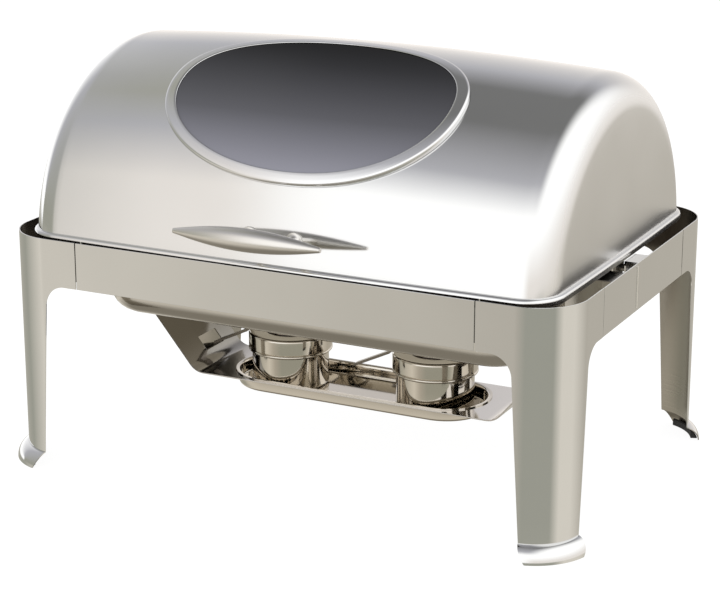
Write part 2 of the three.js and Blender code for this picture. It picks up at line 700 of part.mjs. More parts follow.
const WATER_FLANGE_Z = PAN_SEAT + FIT;
const FOOD_FLANGE_Z = WATER_FLANGE_Z + SHEET + FIT;
place('water_pan', pan({
  flange: [CARRIER_HALF[0] - 5, CARRIER_HALF[1] - 5], flangeCorner: 45, flangeZ: WATER_FLANGE_Z,
  half: WATER_HALF, corner: 45, draft: 4, bottom: WATER_BOTTOM, fillet: WATER_FILLET,
}), polished());
place('food_pan', pan({
  flange: FOOD_FLANGE, flangeCorner: 30, flangeZ: FOOD_FLANGE_Z,
  half: FOOD_HALF, corner: 40, draft: 6, bottom: FOOD_FLANGE_Z - FOOD_DEPTH, fillet: FOOD_FILLET,
}), brushed());

// ---------------------------------------------------------------- burner shelf and tray

// One bent strap: level shelf, sloping arms, upright ends, and tabs under the carrier's ledge.
const slope = radians(SHELF_SLOPE);
const armRise = (ARM_X - SHELF_HALF) * Math.tan(slope);
const strapTop = LEDGE_UNDER - FIT;
const strapBend = [];
for (let i = 0; i <= 4; i++) {
  const turn = slope * i / 4;
  const start = SHELF_HALF - SHELF_BEND * Math.tan(slope / 2);
  strapBend.push([start + SHELF_BEND * Math.sin(turn), SHELF_Z + SHELF_BEND * (1 - Math.cos(turn))]);
}
const strapHalf = [
  [0, SHELF_Z], ...strapBend, [ARM_X, SHELF_Z + armRise], [ARM_X, strapTop], [CARRIER_HALF[0] - 6, strapTop],
];
// Offsets the strap's centre path to its lower or outer side by its thickness, with mitred bends.
function offsetPath(path, distance) {
  const points = path.map(([x, z]) => new THREE.Vector2(x, z));
  const heading = i => points[i + 1].clone().sub(points[i]).normalize();
  const last = path.length - 2;
  return path.map(([x, z], i) => {
    const a = heading(Math.max(0, i - 1));
    const b = heading(Math.min(last, i));
    const mitre = new THREE.Vector2(a.y + b.y, -a.x - b.x).normalize();
    const length = distance / mitre.dot(new THREE.Vector2(a.y, -a.x));
    return [x + mitre.x * length, z + mitre.y * length];
  });
}
const strapUnder = offsetPath(strapHalf, SHELF_SHEET);
const rightOutline = [...strapHalf, ...strapUnder.reverse()];
const strapShape = new THREE.Shape();
strapShape.moveTo(...strapHalf[0]);
for (const [x, z] of rightOutline.slice(1)) strapShape.lineTo(x, z);
const leftOutline = rightOutline.slice(1, -1).reverse();
for (const [x, z] of leftOutline) strapShape.lineTo(-x, z);
strapShape.closePath();
const strap = new THREE.ExtrudeGeometry(strapShape, { depth: SHELF_WIDTH, bevelEnabled: false });
strap.rotateX(Math.PI / 2);
strap.translate(0, SHELF_WIDTH / 2, 0);

// The tray hangs in a stadium-shaped opening; each arm has a slot in line with the dampers' levers.
const stadium = (halfX, halfY, z) => roundedRing(halfX, halfY, halfY - 0.01, z, 6);
const openingHalf = TRAY_HALF.map(half => half - 3);
const trayOpening = loft([stadium(...openingHalf, SHELF_Z - 10), stadium(...openingHalf, SHELF_Z + 10)]);
const SLOT_Y = [-12, 26];
const SLOT_RISE = [13, 27];   // its edges over the shelf
const slotHeight = SLOT_RISE.map(rise => SHELF_Z + rise);
const armSlots = [-1, 1].map(sign => box([sign * SHELF_HALF, sign * ARM_X], SLOT_Y, slotHeight));
place('burner_shelf', cut(strap, trayOpening, ...armSlots), polished());

const TRAY_WALL = 4;          // from the tray's lip to its wall
const trayFloor = SHELF_Z - TRAY_DEPTH;
const trayLip = SHELF_Z + FIT;
const trayRing = (inset, z) => stadium(TRAY_HALF[0] - inset, TRAY_HALF[1] - inset, z);
place('burner_tray', loft([
  trayRing(TRAY_WALL + 4, trayFloor), trayRing(TRAY_WALL + 1, trayFloor + 1),
  trayRing(TRAY_WALL, trayFloor + 4), trayRing(TRAY_WALL - 0.5, trayLip), trayRing(0, trayLip),
  trayRing(0, trayLip + SHEET), trayRing(TRAY_WALL + 0.7, trayLip + SHEET),
  trayRing(TRAY_WALL + 1.2, trayFloor + 4.5), trayRing(TRAY_WALL + 5, trayFloor + SHEET),
]), polished());

// ---------------------------------------------------------------- fuel cups

const CUP_FLOOR = trayFloor + SHEET + FIT;
const CUP_TOP = COVER_TOP - SHEET - 6;
const HOLE_RADIUS = 24;
const DAMPER_RADIUS = 28;
const RIVET_Y = 37;
const DAMPER_Z = COVER_TOP + 0.5;
const DAMPER_THICK = 1.2;

for (const [side, sign] of SIDES) {
  const x = sign * CUP_X;
  place(`fuel_cup_${side}`, turned([
    [0, CUP_FLOOR], [CUP_RADIUS - 3, CUP_FLOOR], [CUP_RADIUS, CUP_FLOOR + 3], [CUP_RADIUS, CUP_TOP],
    [CUP_RADIUS - SHEET, CUP_TOP], [CUP_RADIUS - SHEET, CUP_FLOOR + 3.4],
    [CUP_RADIUS - 3.6, CUP_FLOOR + SHEET], [0, CUP_FLOOR + SHEET],
  ], x), polished());

  // The cover is a sleeve with a rolled bead at its lower edge and a burner hole in its top.
  const inner = COVER_RADIUS - SHEET;
  const cover = turned([
    [HOLE_RADIUS, COVER_TOP - SHEET], [inner - 1, COVER_TOP - SHEET], [inner, COVER_TOP - SHEET - 1],
    [inner, BEAD_Z + 2], [inner - 1, BEAD_Z], [inner - 0.2, BEAD_Z - 2], [COVER_RADIUS + 0.6, BEAD_Z - 2],
    [COVER_RADIUS + 1.6, BEAD_Z], [COVER_RADIUS + 0.4, BEAD_Z + 2], [COVER_RADIUS, BEAD_Z + 3],
    [COVER_RADIUS, COVER_TOP - 2], [COVER_RADIUS - 2, COVER_TOP], [HOLE_RADIUS, COVER_TOP],
    [HOLE_RADIUS, COVER_TOP - SHEET],
  ], x);
  const hole = [[0, COVER_TOP - 10], [2.9, COVER_TOP - 10], [2.9, COVER_TOP + 10], [0, COVER_TOP + 10]];
  place(`cup_cover_${side}`, cut(cover, turned(hole, x, RIVET_Y, 16)), polished());
  const tailZ = COVER_TOP - SHEET - FIT;
  const headZ = DAMPER_Z + DAMPER_THICK + FIT;
  place(`damper_rivet_${side}`, turned([
    [0, tailZ - 1.6], [4.4, tailZ - 1.6], [4.4, tailZ], [2.5, tailZ],
    [2.5, headZ], [5, headZ], [4, headZ + 1.6], [0, headZ + 2],
  ], x, RIVET_Y, 14), brushed());

  // The damper: a disc over the hole, an eye round the rivet, and a lever that steps down past the cover.
  const disc = new THREE.Shape();
  disc.absarc(0, 0, DAMPER_RADIUS, radians(105), radians(435), false);
  disc.lineTo(6.5, RIVET_Y);
  disc.absarc(0, RIVET_Y, 6.5, 0, Math.PI, false);
  disc.closePath();
  const eye = new THREE.Path();
  eye.absarc(0, RIVET_Y, 2.9, 0, 2 * Math.PI, true);
  disc.holes.push(eye);
  const flat = { depth: DAMPER_THICK, bevelEnabled: false, curveSegments: 24 };
  const plate = new THREE.ExtrudeGeometry(disc, flat);
  plate.translate(x, 0, DAMPER_Z);
  const leverPath = [
    [DAMPER_RADIUS - 6, 0], [COVER_RADIUS + 4, 0], [COVER_RADIUS + 7, -10], [LEVER_REACH, -LEVER_DROP],
  ];
  const leverRings = leverPath.map(([reach, rise]) => {
    const under = DAMPER_Z + rise;
    const over = under + LEVER_THICK;
    return [
      vec(x - reach, -LEVER_HALF, under), vec(x - reach, LEVER_HALF, under),
      vec(x - reach, LEVER_HALF, over), vec(x - reach, -LEVER_HALF, over),
    ];
  });
  place(`damper_${side}`, join(plate, loft(leverRings)), brushed());
}

export default chafer;
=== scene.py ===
"""Roll-top chafing dish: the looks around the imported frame.

Shapes are drawn in millimetres from the point on the floor under the middle of the lid's pivot line,
with +Z up and the front at -Y, and are turned into the row frame's metres by to_row().
"""

import json
import math

import bmesh
import bpy
from mathutils import Matrix, Vector


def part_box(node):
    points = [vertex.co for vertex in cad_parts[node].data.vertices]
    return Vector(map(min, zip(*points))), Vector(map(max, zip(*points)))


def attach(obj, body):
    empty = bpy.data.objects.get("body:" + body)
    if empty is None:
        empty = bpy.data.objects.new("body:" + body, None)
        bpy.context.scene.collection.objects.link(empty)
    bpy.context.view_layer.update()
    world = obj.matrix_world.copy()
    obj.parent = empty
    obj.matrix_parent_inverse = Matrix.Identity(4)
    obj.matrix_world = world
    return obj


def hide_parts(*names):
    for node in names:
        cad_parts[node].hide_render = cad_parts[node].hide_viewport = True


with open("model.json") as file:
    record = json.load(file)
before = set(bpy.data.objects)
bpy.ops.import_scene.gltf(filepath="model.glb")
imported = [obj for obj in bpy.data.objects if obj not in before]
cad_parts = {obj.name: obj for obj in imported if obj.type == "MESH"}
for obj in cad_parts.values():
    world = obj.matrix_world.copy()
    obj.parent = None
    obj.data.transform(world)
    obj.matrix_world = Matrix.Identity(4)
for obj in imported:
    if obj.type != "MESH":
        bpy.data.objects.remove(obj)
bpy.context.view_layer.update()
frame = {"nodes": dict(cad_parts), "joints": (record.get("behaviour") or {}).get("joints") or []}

# ---------------------------------------------------------------- places taken from the frame

MM = 0.001
pivot = next(joint for joint in frame["joints"] if joint["name"] == "lid_roll")["pos_m"]
ORIGIN = Vector((0, pivot[1], 0))
PIVOT_Z = pivot[2] / MM


def to_row(point):
    return ORIGIN + Vector(point) * MM


def corners(node):
    """The CAD node's lowest and highest corners, in this script's millimetres."""
    return [(corner - ORIGIN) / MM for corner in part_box(node)]


FRAME_X = corners("right_band")[1].x
FRAME_Y = corners("rear_band")[1].y
BAND_LOW = corners("front_band")[0].z
BAND_HIGH = corners("front_band")[1].z
SEAM_X = corners("front_band")[1].x
SEAM_Y = corners("right_band")[1].y
LID_TOP = corners("lid_shell")[1].z
LID_LOW = corners("lid_shell")[0].z
LID_OUTER_X = corners("lid_shell")[1].x
WATER_LOW = corners("water_pan")[0].z
FOOD_LOW = corners("food_pan")[0].z
SHELF_LOW, SHELF_HIGH = corners("burner_shelf")
TRAY_LOW, TRAY_HIGH = corners("burner_tray")
CUP_LOW, CUP_HIGH = corners("fuel_cup_right")
COVER_LOW, COVER_HIGH = corners("cup_cover_right")
CARRIER_HIGH = corners("pan_carrier")[1]

# ---------------------------------------------------------------- sizes of the formed sheet

SHEET = 1.2
SIDES = (("left", -1), ("right", 1))
ENDS = (("front", -1), ("rear", 1))

FRAME_CORNER = 55
SEAM_GAP = 1.1            # between a leg and a band
LEG_FILLET = 24
LEG_TOP_HALF = 46
LEG_FOOT_HALF = 35.5      # at the crease over the foot
TOE_HALF = 27
FOOT_HEIGHT = 18
FOOT_FLARE = 12.8
PAD_HALF = 22
PAD_WIDTH = 8
WELD_Y = -25              # the weld on a side band, just in front of the pivot
WELD_RADIUS = 1.3
HALF_ARC = FRAME_CORNER * math.pi / 4
BAND_HALF = HALF_ARC + (FRAME_X - SEAM_X) - FRAME_CORNER

RIM_OUT = 4.8
RIM_ROUND = 4.0
LID_RADIUS = LID_TOP - PIVOT_Z
LID_END = LID_OUTER_X - RIM_OUT
LID_FILLET = 37
LID_STRAIGHT = LID_END - LID_FILLET
LID_DOME = 9
LID_EDGE = LID_LOW + 8.4
LID_CROWN = 1.6           # of the flat ends
LID_COLUMNS = 128

WINDOW_X = 2
WINDOW_ANGLE = math.radians(56.6)
WINDOW_HALF_LENGTH = 157
WINDOW_HALF_ARC = 95
WINDOW_POWER = 2.13
HOLE_SPREAD = 8
BEZEL_RISE = 6.2
PANE_SPREAD = 3.4
PANE_LIFT = 4.8
PANE_CROWN = 0.5
PANE_THICK = 4

HANDLE_ANGLE = math.radians(12.2)
HANDLE_RADIUS = 266
GRIP_RADIUS = 12
GRIP_TIP = 2.6
NECK_WAIST = (232, 244)   # from the pivot line, like HANDLE_RADIUS
SCREW_END = 225

# ---------------------------------------------------------------- node helpers


def lerp(low, high, share):
    return low + (high - low) * share


def steps(low, high, count):
    return [lerp(low, high, i / count) for i in range(count + 1)]


def arc(centre, radius, start, end, count):
    """Points [u, v] on an arc; the angles are in degrees."""
    turns = [math.radians(turn) for turn in steps(start, end, count)]
    return [[centre[0] + radius * math.cos(t), centre[1] + radius * math.sin(t)] for t in turns]


class Graph:
    """A node tree with short calls: node() adds a node and wires its inputs, and the others add one kind."""

    def __init__(self, owner):
        owner.use_nodes = True
        self.tree = owner.node_tree
        self.tree.nodes.clear()

    def node(self, kind, inputs=None, **settings):
        made = self.tree.nodes.new(kind)
        for key, value in settings.items():
            setattr(made, key, value)
        for key, value in (inputs or {}).items():
            if isinstance(value, bpy.types.NodeSocket):
                self.tree.links.new(value, made.inputs[key])
            else:
                made.inputs[key].default_value = value
        return made

    def math(self, operation, first, second=0.0):
        return self.node("ShaderNodeMath", {0: first, 1: second}, operation=operation).outputs[0]

    def remap(self, value, low, high, to_low=0.0, to_high=1.0, smooth=False):
        kind = "SMOOTHSTEP" if smooth else "LINEAR"
        inputs = {"Value": value, "From Min": low, "From Max": high, "To Min": to_low, "To Max": to_high}
        return self.node("ShaderNodeMapRange", inputs, interpolation_type=kind).outputs["Result"]

    def ramp(self, value, stops):
        """stops are (place from 0 to 1, sRGB colour) pairs."""
        made = self.node("ShaderNodeValToRGB", {"Fac": value})
        elements = made.color_ramp.elements
        while len(elements) < len(stops):
            elements.new(0.5)
        for element, (place, colour) in zip(elements, stops):
            element.position = place
            element.color = (*linear(colour), 1)
        return made.outputs["Color"]

    def mix(self, share, first, second, blend="MIX"):
        inputs = {0: share, 6: first, 7: second}
        return self.node("ShaderNodeMix", inputs, data_type="RGBA", blend_type=blend).outputs[2]


def linear(colour):
    """A colour of 0 to 255 sRGB steps as linear light."""
    return [((c / 255 + 0.055) / 1.055) ** 2.4 if c > 10 else c / 255 / 12.92 for c in colour]


# ---------------------------------------------------------------- materials


def steel(name, colour, roughness, smudge=0.03, grain=0.0, grain_scale=(6, 6, 900),
          satin_ends=0.0, painted_fade=None):
    """Stainless steel: faint smudges, a slight ripple of the sheet, and brushing where grain is above 0.

    satin_ends is how much rougher the faces are that look along X. painted_fade is an axis, two places on it
    and the colour of painted shade that the steel takes on from the first place to the second.
    """
    material = bpy.data.materials.new(name)
    graph = Graph(material)
    place = graph.node("ShaderNodeTexCoord").outputs["Object"]
    cloud = graph.node("ShaderNodeTexNoise", {"Vector": place, "Scale": 9.0, "Detail": 4.0}).outputs["Fac"]
    ripple = graph.node("ShaderNodeTexNoise", {"Vector": place, "Scale": 26.0, "Detail": 1.0}).outputs["Fac"]
    stretched = graph.node("ShaderNodeMapping", {"Vector": place, "Scale": grain_scale}).outputs["Vector"]
    brushing = graph.node("ShaderNodeTexNoise", {
        "Vector": stretched, "Scale": 1.0, "Detail": 3.0}).outputs["Fac"]

    shade = graph.remap(cloud, 0.3, 0.7, 0.965, 1.0)
    base = (*linear(colour), 1)
    # Painted shade: the base colour turns to the shade colour along one axis.
    if painted_fade:
        axis, start, end, other = painted_fade
        along = graph.node("ShaderNodeSeparateXYZ", {"Vector": place}).outputs[axis]
        base = graph.mix(graph.remap(along, start * MM, end * MM, smooth=True), base, (*linear(other), 1))
    tone = graph.mix(1.0, base, graph.node("ShaderNodeCombineColor", {
        0: shade, 1: shade, 2: shade}).outputs[0], "MULTIPLY")
    rough = graph.remap(cloud, 0.3, 0.7, max(0.02, roughness - smudge), roughness + smudge)
    rough = graph.math("ADD", rough, graph.remap(brushing, 0.3, 0.7, -0.6 * grain, 0.6 * grain))
    if satin_ends:
        normal = graph.node("ShaderNodeNewGeometry").outputs["Normal"]
        facing_x = graph.node("ShaderNodeSeparateXYZ", {"Vector": normal}).outputs["X"]
        sideways = graph.math("ABSOLUTE", facing_x)
        rough = graph.math("ADD", rough, graph.remap(sideways, 0.55, 0.98, 0.0, satin_ends))

    height = graph.math("ADD", graph.math("MULTIPLY", ripple, 0.12), graph.math("MULTIPLY", brushing, grain))
    bump = graph.node("ShaderNodeBump", {
        "Height": height, "Strength": 0.05, "Distance": 0.002}).outputs["Normal"]
    shader = graph.node("ShaderNodeBsdfPrincipled", {
        "Base Color": tone, "Metallic": 1.0, "Roughness": rough, "Normal": bump}).outputs[0]
    graph.node("ShaderNodeOutputMaterial", {"Surface": shader})
    return material


def smoked_glass():
    """Toughened smoke-grey glass whose colour carries painted shading, from light at the bottom to near black
    at the top, as glossy as a clean pane.
    """
    material = bpy.data.materials.new("window_glass")
    graph = Graph(material)
    place = graph.node("ShaderNodeTexCoord").outputs["Generated"]
    height = graph.node("ShaderNodeSeparateXYZ", {"Vector": place}).outputs["Z"]
    film = graph.node("ShaderNodeTexNoise", {"Vector": place, "Scale": 5.0, "Detail": 3.0}).outputs["Fac"]
    # Painted shading over the smoke-grey tint: light at the bottom, near black at the top.
    smoke_and_painted_shading = graph.ramp(height, [(0.0, (140, 140, 150)), (0.5, (85, 85, 90)), (1.0, (20, 20, 20))])
    rough = graph.remap(film, 0.3, 0.7, 0.02, 0.06)
    body = graph.node("ShaderNodeBsdfDiffuse", {"Color": smoke_and_painted_shading}).outputs[0]
    gloss = graph.node("ShaderNodeBsdfAnisotropic", {"Color": (1, 1, 1, 1), "Roughness": rough}).outputs[0]
    pane = graph.node("ShaderNodeMixShader", {0: 0.02, 1: body, 2: gloss}).outputs[0]
    graph.node("ShaderNodeOutputMaterial", {"Surface": pane})
    return material


def rubber():
    """Matt black rubber with a fine moulded grain."""
    material = bpy.data.materials.new("black_rubber")
    graph = Graph(material)
    place = graph.node("ShaderNodeTexCoord").outputs["Object"]
    grain = graph.node("ShaderNodeTexNoise", {"Vector": place, "Scale": 900.0, "Detail": 3.0}).outputs["Fac"]
    bump = graph.node("ShaderNodeBump", {
        "Height": grain, "Strength": 0.3, "Distance": 0.0004}).outputs["Normal"]
    tone = graph.ramp(grain, [(0.3, (26, 26, 26)), (0.7, (42, 41, 40))])
    shader = graph.node("ShaderNodeBsdfPrincipled", {
        "Base Color": tone, "Roughness": 0.75, "Normal": bump}).outputs[0]
    graph.node("ShaderNodeOutputMaterial", {"Surface": shader})
    return material


FINISHES = {
    "lid_steel": steel("lid_steel", (226, 226, 225), 0.10, 0.02, satin_ends=0.2),
    "bezel_steel": steel("bezel_steel", (228, 228, 228), 0.09),
    "handle_steel": steel("handle_steel", (226, 223, 218), 0.3),
    "frame_steel": steel("frame_steel", (224, 224, 223), 0.07, 0.02),
    "pan_steel": steel("pan_steel", (222, 219, 213), 0.16, 0.04, 0.03, (6, 500, 500)),
    "burner_steel": steel("burner_steel", (214, 208, 198), 0.08),
    "hidden_steel": steel("hidden_steel", (150, 147, 142), 0.3, 0.05, 0.06, (8, 8, 700)),
    "window_glass": smoked_glass(),
    "black_rubber": rubber(),
}
# The sheets' inner faces with painted shade, and two pieces that differ from their slot's finish: the shelf,
# with painted shade at its left end, and the damper plates in a darker steel.
SHADOWED = (74, 68, 62)
# Painted shade: the bands' inner faces are a dull dark brown-grey.
DULL_SHADED_INSIDE = steel("dull_shaded_inside", SHADOWED, 0.36, 0.06, 0.05, (8, 8, 500))
# Painted shade: the legs' inner faces are darker than the frame's steel, and dark brown-grey above the bands'
# lower edge.
SATIN_SHADED_INSIDE = steel("satin_shaded_inside", (170, 165, 155), 0.34, 0.06, 0.05, (8, 8, 500),
                     painted_fade=("Z", BAND_LOW - 14, BAND_LOW + 6, SHADOWED))
# Painted shade: the shelf turns dark brown-grey towards its left end.
SHELF_STEEL_SHADED_LEFT = steel("shelf_steel_shaded_left", (220, 217, 214), 0.1, painted_fade=("X", -130, -215, (120, 115, 105)))
# A darker steel for the damper plates and levers.
DARK_DAMPER_STEEL = steel("dark_damper_steel", (128, 122, 114), 0.16)

# ---------------------------------------------------------------- mesh helpers


def skin(rings, close_rings=True, close_row=False):
    """Points and quads that join a row of rings with the same number of points."""
    count = len(rings[0])
    points = [point for ring in rings for point in ring]
    faces = []
    for i in range(len(rings) if close_row else len(rings) - 1):
        near, far = i * count, (i + 1) % len(rings) * count
        for j in range(count if close_rings else count - 1):
            k = (j + 1) % count
            faces.append((near + j, near + k, far + k, far + j))
    return points, faces


def capped(rings):
    """A row of closed rings with a flat face on each end."""
    points, faces = skin(rings)
    count = len(rings[0])
    first = tuple(range(count))
    last = tuple(range(len(points) - count, len(points)))
    return points, [*faces, first, last]


def joined(name, skins):
    """One mesh from several skins in millimetres."""
    mesh = bpy.data.meshes.new(name)
    points, faces = [], []
    for skin_points, skin_faces in skins:
        first = len(points)
        points += [to_row(point) for point in skin_points]
        faces += [tuple(first + index for index in face) for face in skin_faces]
    mesh.from_pydata(points, [], faces)
    return mesh


def piece(name, skins, body, slot, nodes, sheet=0.0, inside=None, bevel=0.0, sharp=35,
          finish=None, lining=None):
    """A named piece from skins in millimetres; an open skin becomes sheet metal, thickened towards inside.

    finish replaces the slot's material, and lining is the material of a sheet's inner face.
    """
    mesh = joined(name, skins)
    made = bmesh.new()
    made.from_mesh(mesh)
    bmesh.ops.remove_doubles(made, verts=made.verts, dist=0.01 * MM)
    bmesh.ops.recalc_face_normals(made, faces=made.faces)
    if inside is not None:
        middle = to_row(inside)
        turned_out = sum(f.normal.dot(f.calc_center_median() - middle) * f.calc_area() for f in made.faces)
        if turned_out < 0:
            bmesh.ops.reverse_faces(made, faces=made.faces)
    made.to_mesh(mesh)
    made.free()
    mesh.shade_smooth()
    mesh.set_sharp_from_angle(angle=math.radians(sharp))

    obj = bpy.data.objects.new(name, mesh)
    bpy.context.scene.collection.objects.link(obj)
    if sheet:
        thicken = obj.modifiers.new("sheet", "SOLIDIFY")
        thicken.thickness = sheet * MM
        thicken.offset = -1
        thicken.material_offset = 1 if lining else 0
    if bevel:
        round_edges(obj, bevel)
    mesh.materials.append(finish or FINISHES[slot])
    if lining:
        mesh.materials.append(lining)
    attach(obj, body)
    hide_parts(*nodes)
    return obj


def round_edges(obj, width, angle=40, segments=2):
    bevel = obj.modifiers.new("edges", "BEVEL")
    bevel.width = width * MM
    bevel.segments = segments
    bevel.limit_method = "ANGLE"
    bevel.angle_limit = math.radians(angle)
    bevel.harden_normals = True


def carve(obj, skins):
    """Cuts closed skins out of a piece's mesh."""
    mesh = joined("cutter", skins)
    made = bmesh.new()
    made.from_mesh(mesh)
    bmesh.ops.recalc_face_normals(made, faces=made.faces)
    made.to_mesh(mesh)
    made.free()
    cutter = bpy.data.objects.new("cutter", mesh)
    bpy.context.scene.collection.objects.link(cutter)
    cut = obj.modifiers.new("cut", "BOOLEAN")
    cut.object = cutter
    cut.solver = "EXACT"
    bpy.context.view_layer.update()
    evaluated = obj.evaluated_get(bpy.context.evaluated_depsgraph_get())
    obj.data = bpy.data.meshes.new_from_object(evaluated)
    obj.modifiers.clear()
    bpy.data.objects.remove(cutter)


def rounded_ring(half_x, half_y, radius, z, count=10):
    """A closed ring round an oblong about the vertical through the origin."""
    ring = []
    for sign_x, sign_y, start in ((1, 1, 0), (-1, 1, 90), (-1, -1, 180), (1, -1, 270)):
        centre = (sign_x * (half_x - radius), sign_y * (half_y - radius))
        ring += [(u, v, z) for u, v in arc(centre, radius, start, start + 90, count)]
    return ring


def sweep(outline, section):
    """Rings that carry a section of [out, z] points round a closed plan outline, seen anticlockwise."""
    rings = []
    for i, point in enumerate(outline):
        along = Vector(outline[(i + 1) % len(outline)]) - Vector(outline[i - 1])
        along = along.normalized()
        rings.append([(point[0] + along.y * out, point[1] - along.x * out, z) for out, z in section])
    return rings


def turned(profile, x=0.0, y=0.0, count=64):
    """Rings of a solid of revolution about a vertical line, from [radius, z] points."""
    last_turn = 360 - 360 / count
    rings = []
    for radius, z in profile:
        circle = arc((0, 0), max(radius, 0.001), 0, last_turn, count - 1)
        rings.append([(x + u, y + v, z) for u, v in circle])
    return rings


def block(low, high):
    """A box as a closed skin, used to cut the slots in the shelf's arms."""
    ring = [(low[0], low[1]), (high[0], low[1]), (high[0], high[1]), (low[0], high[1])]
    return capped([[(u, v, z) for u, v in ring] for z in (low[2], high[2])])


# ---------------------------------------------------------------- frame: legs, bands, pads


def corner_point(s, offset, z, sign_x, sign_y):
    """A point on the frame's outline; s runs round the corner from its middle."""
    centre_x, centre_y = FRAME_X - FRAME_CORNER, FRAME_Y - FRAME_CORNER
    if s > HALF_ARC:
        x, y = centre_x - (s - HALF_ARC), FRAME_Y + offset
    elif s < -HALF_ARC:
        x, y = FRAME_X + offset, centre_y - (-s - HALF_ARC)
    else:
        angle = math.pi / 4 + s / FRAME_CORNER
        x = centre_x + (FRAME_CORNER + offset) * math.cos(angle)
        y = centre_y + (FRAME_CORNER + offset) * math.sin(angle)
    return (sign_x * x, sign_y * y, z)


def leg_half_width(z):
    """Half the leg's width round the corner: full at the band, a concave fillet, a taper, a narrower toe."""
    fillet_end = BAND_LOW - LEG_FILLET
    if z >= BAND_LOW:
        return BAND_HALF - SEAM_GAP
    if z > fillet_end:
        round_off = LEG_TOP_HALF + LEG_FILLET - math.sqrt(LEG_FILLET ** 2 - (z - fillet_end) ** 2)
        return min(round_off, BAND_HALF - SEAM_GAP)
    if z > FOOT_HEIGHT:
        return lerp(LEG_FOOT_HALF, LEG_TOP_HALF, (z - FOOT_HEIGHT) / (fillet_end - FOOT_HEIGHT))
    return lerp(TOE_HALF, LEG_FOOT_HALF, (z / FOOT_HEIGHT) ** 0.8)


def foot_flare(z):
    """How far the foot stands outside the leg: it rolls out under a crease, and comes down upright."""
    return FOOT_FLARE * (1 - min(1.0, z / FOOT_HEIGHT) ** 2.2) ** 0.65


def build_legs():
    fillet = [BAND_LOW - LEG_FILLET * (1 - math.cos(t)) for t in steps(0, math.pi / 2, 14)]
    columns = steps(SEAM_GAP - BAND_HALF, BAND_HALF - SEAM_GAP, 96)
    rows = [*steps(BAND_HIGH, BAND_LOW + 0.05, 4), *fillet, *steps(fillet[-1], FOOT_HEIGHT + 1, 10)[1:]]
    rows += [max(0.6, FOOT_HEIGHT * math.cos(t)) for t in steps(0, math.pi / 2, 22)]
    for end, sign_y in ENDS:
        for side, sign_x in SIDES:
            rings = []
            for z in rows:
                half = leg_half_width(z)
                rings.append([corner_point(max(-half, min(half, s)), foot_flare(z), z, sign_x, sign_y)
                              for s in columns])
            piece(f"leg_{end}_{side}_skin", [skin(rings, close_rings=False)], "frame", "frame_steel",
                  [f"leg_{end}_{side}"], sheet=SHEET, inside=(0, 0, PIVOT_Z), bevel=0.3, lining=SATIN_SHADED_INSIDE)
            build_pad(end, side, sign_x, sign_y)


def build_pad(end, side, sign_x, sign_y):
    """The rubber pad in the hollow of the curled foot, rounded on its edges."""
    outer = FOOT_FLARE - SHEET - 0.6
    height = corners(f"foot_pad_{end}_{side}")[1].z
    inner = outer - PAD_WIDTH
    section = [(outer, 0.5), (outer - 0.6, 0), (inner + 0.6, 0), (inner, 0.6), (inner, height - 1),
               (inner + 1, height), (inner + 3, height), (inner + 3.8, height - 1)]
    rings = [[corner_point(s, offset, z, sign_x, sign_y) for offset, z in section]
             for s in steps(-PAD_HALF, PAD_HALF, 20)]
    piece(f"foot_pad_{end}_{side}_rubber", [capped(rings)], "frame", "black_rubber",
          [f"foot_pad_{end}_{side}"], bevel=0.4)


def build_band(name, rings):
    piece(f"{name}_skin", [skin(rings, close_rings=False)], "frame", "frame_steel", [name],
          sheet=SHEET, inside=(0, 0, PIVOT_Z), bevel=0.3, lining=DULL_SHADED_INSIDE)


def build_bands():
    heights = steps(BAND_LOW, BAND_HIGH, 4)
    for end, sign in ENDS:
        build_band(f"{end}_band", [[(x, sign * FRAME_Y, z) for z in heights]
                                   for x in steps(-SEAM_X, SEAM_X, 40)])
    for side, sign in SIDES:
        build_band(f"{side}_band", [[(sign * FRAME_X, y, z) for z in heights]
                                    for y in steps(-SEAM_Y, SEAM_Y, 20)])
        bead = [[(sign * FRAME_X + u, WELD_Y + v, z) for u, v in arc((0, 0), WELD_RADIUS, 0, 330, 11)]
                for z in steps(BAND_LOW + 4, BAND_HIGH - 3, 12)]
        piece(f"{side}_band_weld", [capped(bead)], "frame", "frame_steel", [f"{side}_band"],
              finish=FINISHES["handle_steel"])


# ---------------------------------------------------------------- lid


def vault_radius(x, angle):
    along = min(1.0, abs(x) / LID_STRAIGHT)
    return LID_RADIUS - LID_DOME * (0.3 + 0.7 * math.sin(angle) ** 2) * along ** 2


def vault_point(x, angle, radius):
    return (x, -radius * math.cos(angle), PIVOT_Z + radius * math.sin(angle))


def lid_stations():
    """(x, drop) pairs along the lid: the round ends fall away from the vault by drop."""
    straight = [(x, 0.0) for x in steps(0, LID_STRAIGHT, 46)]
    fillet = [(LID_STRAIGHT + LID_FILLET * math.sin(t), LID_FILLET * (1 - math.cos(t)))
              for t in steps(0, math.pi / 2, 14)[1:]]
    right = straight + fillet
    return [(-x, drop) for x, drop in reversed(right[1:])] + right


def lid_turns(x, drop):
    """Angles from the front edge over the top to the rear edge."""
    rise = LID_EDGE - PIVOT_Z
    start = 0.0
    for _ in range(4):
        start = math.asin(rise / (vault_radius(x, start) - drop))
    return steps(start, math.pi - start, LID_COLUMNS)


def window_reach(x, angle):
    """How far out a vault point is from the window's middle: 1 on the edge of the hole in the sheet."""
    along = abs(x - WINDOW_X) / (WINDOW_HALF_LENGTH + HOLE_SPREAD)
    across = abs(angle - WINDOW_ANGLE) * LID_RADIUS / (WINDOW_HALF_ARC + HOLE_SPREAD)
    return (along ** WINDOW_POWER + across ** WINDOW_POWER) ** (1 / WINDOW_POWER)


